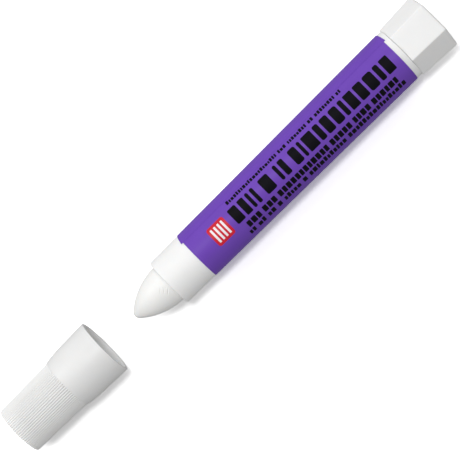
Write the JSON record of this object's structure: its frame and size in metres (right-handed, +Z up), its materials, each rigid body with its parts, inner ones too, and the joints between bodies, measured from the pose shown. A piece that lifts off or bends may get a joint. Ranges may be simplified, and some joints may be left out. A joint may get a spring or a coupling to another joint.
{
  "type": "solid paint marker",
  "caption": "Twist-up paint marker with a tapered round barrel, wrapped film label, bullet paint tip, six-sided twist knob and a pulled-off ribbed cap.",
  "frame": {"origin": "centre of the ground below the whole object, cap pulled off and lying in line with the marker", "axes": "+X along the marker's axis from the twist knob to the tip and on to the cap, +Z up, +Y to the side"},
  "size_m": [0.1754, 0.02, 0.0193],
  "materials": {
    "barrel_plastic": "satin moulded polypropylene",
    "label_film": "glossy printed film",
    "knob_plastic": "satin moulded polypropylene",
    "drive_plastic": "plain moulded polypropylene",
    "solid_paint": "waxy solid paint with handling marks",
    "cap_plastic": "satin moulded polypropylene, ribbed grip"
  },
  "bodies": {
    "barrel": {"barrel": "barrel_plastic", "label": "label_film"},
    "knob": {"knob": "knob_plastic", "lead_screw": "drive_plastic"},
    "feed": {"holder": "drive_plastic", "paint_stick": "solid_paint"},
    "cap": {"cap": "cap_plastic"}
  },
  "joints": [
    {"name": "stick_feed", "type": "slide", "parent": "barrel", "child": "feed", "axis": [1, 0, 0], "range_m": [-0.014, 0.009]},
    {"name": "knob_turn", "type": "hinge", "parent": "barrel", "child": "knob", "pos_m": [-0.0877, 0, 0.00967], "axis": [1, 0, 0], "range_deg": [-841, 541]},
    {"name": "cap_pull", "type": "slide", "parent": "barrel", "child": "cap", "axis": [-1, 0, 0], "range_m": [0, 0.0383]}
  ],
  "couplings": [
    {"joint": "knob_turn", "follows": "stick_feed", "rad_per_m": 1047.2}
  ]
}
